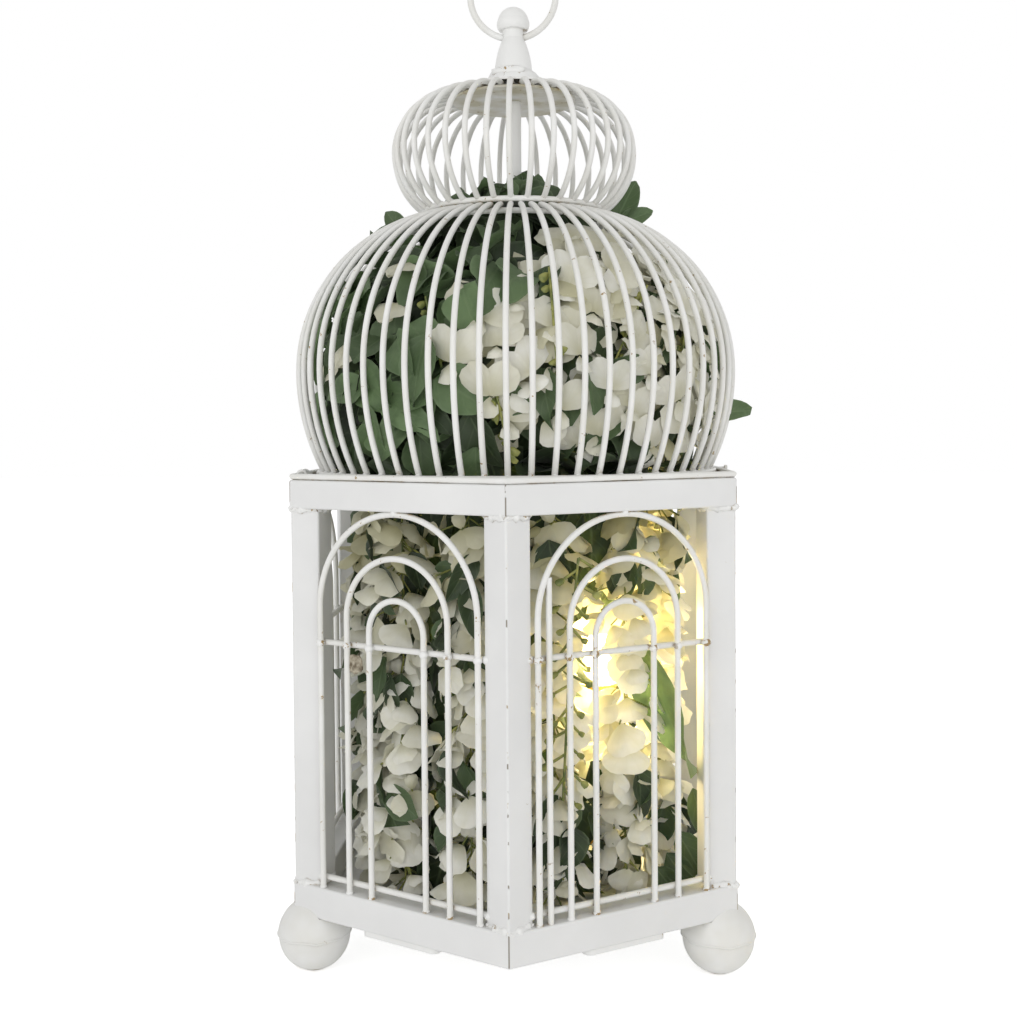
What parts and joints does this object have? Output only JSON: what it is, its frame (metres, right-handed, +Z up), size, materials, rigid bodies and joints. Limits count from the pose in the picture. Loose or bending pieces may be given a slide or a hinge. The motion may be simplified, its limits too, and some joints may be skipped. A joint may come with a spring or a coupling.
{
  "type": "birdcage lantern card box",
  "caption": "Hexagonal white metal birdcage lantern with arched wire panels, ball feet, a hinged two-tier wire dome lid, carrying ring, silk wisteria and a lamp; used as a card box.",
  "frame": {"origin": "on the ground under the cage's axis, between the three ball feet", "axes": "+Z up; -Y towards the corner that faces the camera in the picture; +X to the viewer's right"},
  "size_m": [0.2442, 0.2681, 0.5378],
  "materials": {
    "white_paint": "satin white paint, chipped to brown metal at edges and welds",
    "puck_plastic": "matte off-white",
    "lamp_brass": "satin",
    "clear_glass": "clear",
    "filament": "lit LED strips",
    "silk_petal": "silk blossom, white to cream",
    "silk_leaf": "silk leaf, dark green"
  },
  "bodies": {
    "base": {"bottom_rail_front_right": "white_paint", "bottom_rail_right": "white_paint", "bottom_rail_back_right": "white_paint", "bottom_rail_back_left": "white_paint", "bottom_rail_left": "white_paint", "bottom_rail_front_left": "white_paint", "post_front": "white_paint", "post_right_front": "white_paint", "post_right_back": "white_paint", "post_back": "white_paint", "post_left_back": "white_paint", "post_left_front": "white_paint", "top_rail_front_right": "white_paint", "top_rail_right": "white_paint", "top_rail_back_right": "white_paint", "top_rail_back_left": "white_paint", "top_rail_left": "white_paint", "top_rail_front_left": "white_paint", "panel_front_right": "white_paint", "panel_right": "white_paint", "panel_back_right": "white_paint", "panel_back_left": "white_paint", "panel_left": "white_paint", "panel_front_left": "white_paint", "foot_upper_right_front": "white_paint", "foot_lower_right_front": "white_paint", "foot_upper_back": "white_paint", "foot_lower_back": "white_paint", "foot_upper_left_front": "white_paint", "foot_lower_left_front": "white_paint", "floor_pan": "white_paint", "hinge_strap_front": "white_paint", "hinge_strap_back": "white_paint", "latch_rivet": "white_paint", "lamp_base": "puck_plastic", "lamp_holder": "lamp_brass", "lamp_globe": "clear_glass", "lamp_filament": "filament", "wisteria_front_right": "silk_petal", "wisteria_right": "silk_petal", "wisteria_back_right": "silk_petal", "wisteria_back_left": "silk_petal", "wisteria_left": "silk_petal", "wisteria_front_left": "silk_petal"},
    "lid": {"lid_rim": "white_paint", "lid_base_ring": "white_paint", "dome_wires": "white_paint", "neck_ring": "white_paint", "crown_base_ring": "white_paint", "crown_wires": "white_paint", "crown_disc": "white_paint", "crown_cap": "white_paint", "finial": "white_paint", "finial_rod": "white_paint", "neck_bridge": "white_paint", "latch_stud": "white_paint", "blossom_spray": "silk_petal", "leaf_spray": "silk_leaf"},
    "carry_ring": {"carry_ring": "white_paint"},
    "latch_hook": {"latch_hook": "white_paint"}
  },
  "joints": [
    {"name": "lid_hinge", "type": "hinge", "parent": "base", "child": "lid", "pos_m": [-0.111, 0, 0.2524], "axis": [0, -1, 0], "range_deg": [0, 110]},
    {"name": "ring_swing", "type": "hinge", "parent": "lid", "child": "carry_ring", "pos_m": [0, 0, 0.4896], "axis": [1, 0, 0], "range_deg": [-105, 105]},
    {"name": "hook_swing", "type": "hinge", "parent": "base", "child": "latch_hook", "pos_m": [0.11258, 0, 0.2423], "axis": [1, 0, 0], "range_deg": [0, 180]}
  ]
}
